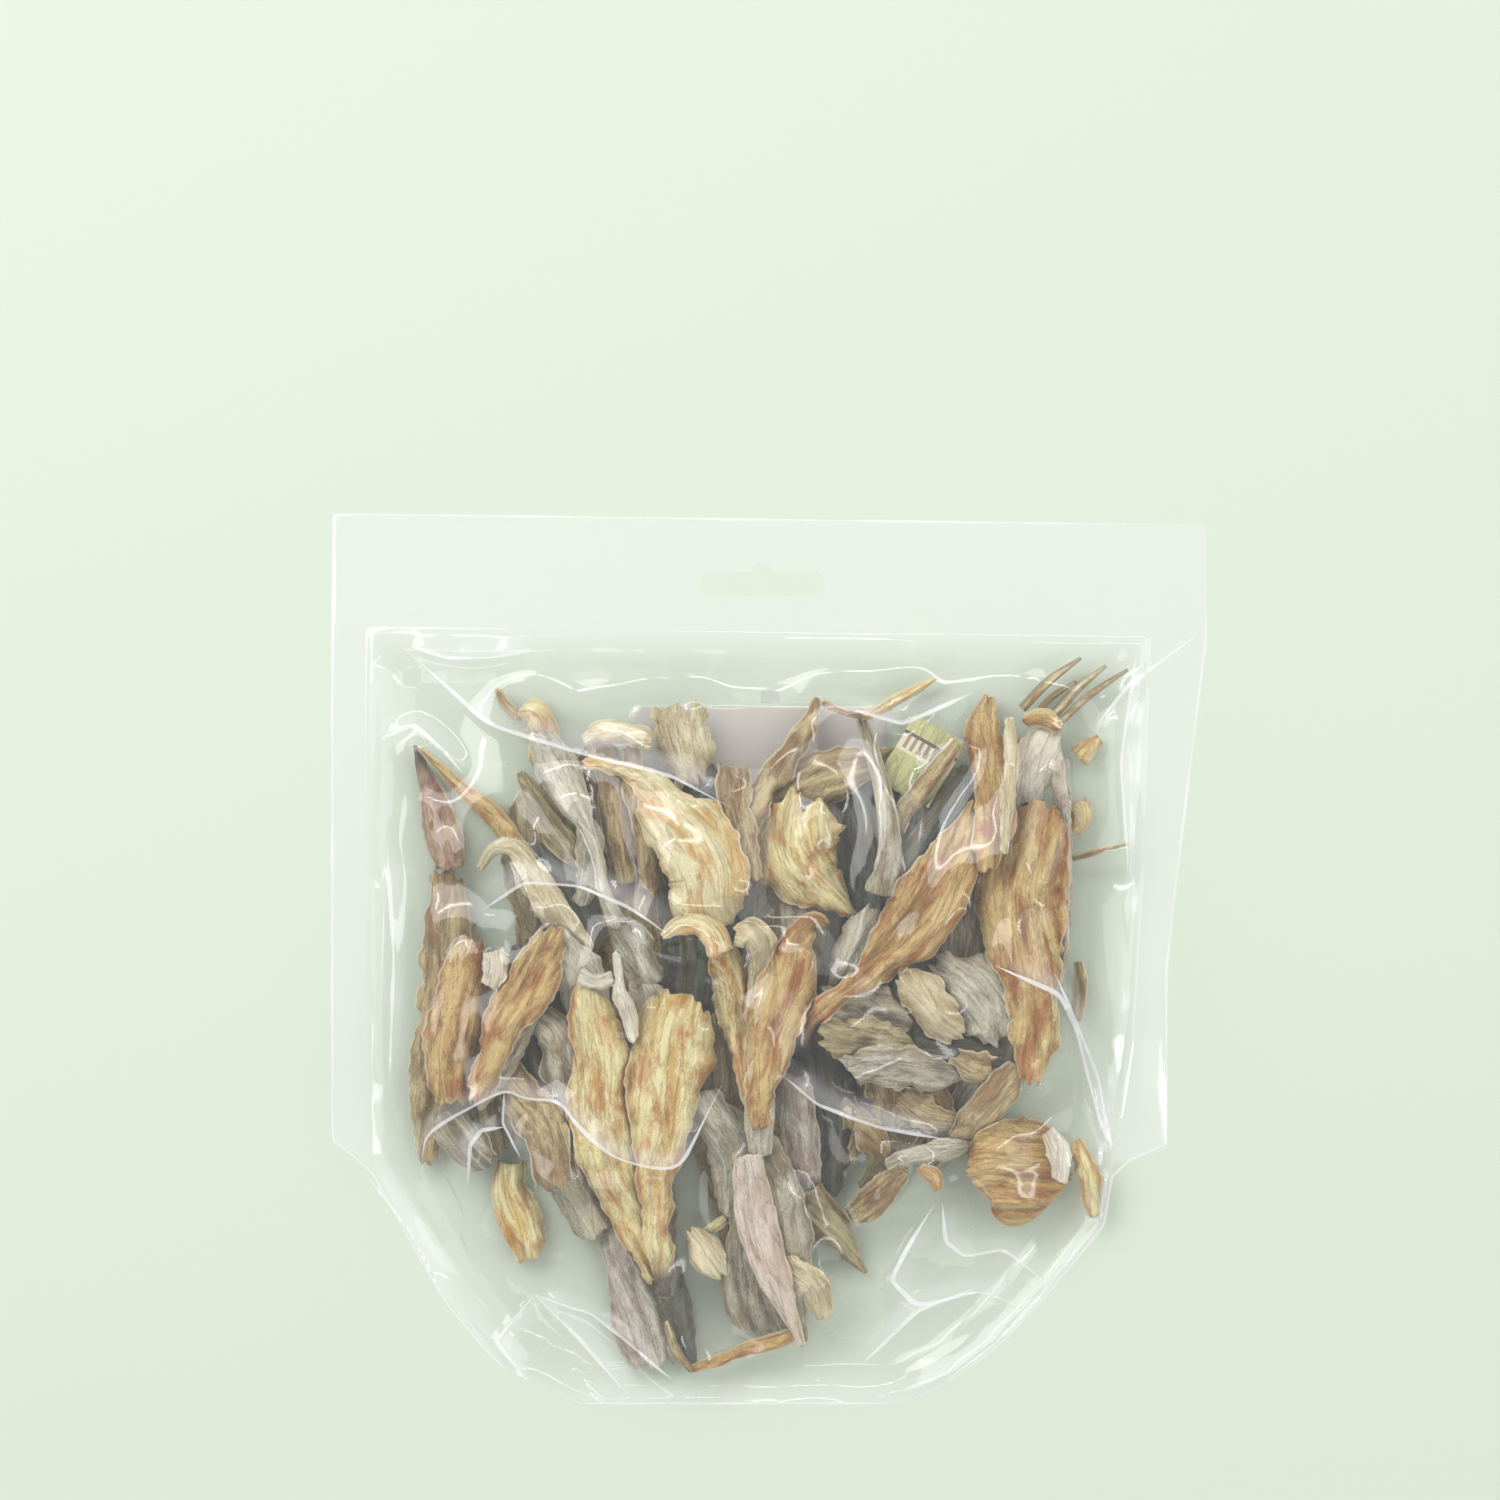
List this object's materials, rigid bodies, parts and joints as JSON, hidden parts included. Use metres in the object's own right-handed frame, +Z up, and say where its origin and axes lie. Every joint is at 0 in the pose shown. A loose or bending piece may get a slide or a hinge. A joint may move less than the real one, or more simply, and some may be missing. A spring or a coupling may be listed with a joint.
{
  "type": "bag of dried gurnard",
  "caption": "Clear film hang bag of curled dried gurnard fillets, skins and tails, lying flat, with a slotted header and a sticker on its back.",
  "frame": {"origin": "on the surface the bag lies on, under the centre of its bounding box", "axes": "+Z up through the bag's thickness, +Y towards the header with the hanging slot, +X to the right as the shown side is seen"},
  "size_m": [0.2244, 0.2284, 0.0301],
  "materials": {
    "clear_film": "clear glossy film with creases",
    "label_paper": "matt back of a sticker",
    "dried_flesh": "matt, fibrous, golden brown",
    "dried_skin": "satin, leathery, grey brown",
    "slip_paper": "matt yellow green paper"
  },
  "bodies": {
    "root": {"bag": "clear_film", "back_label": "label_paper"}
  },
  "joints": []
}
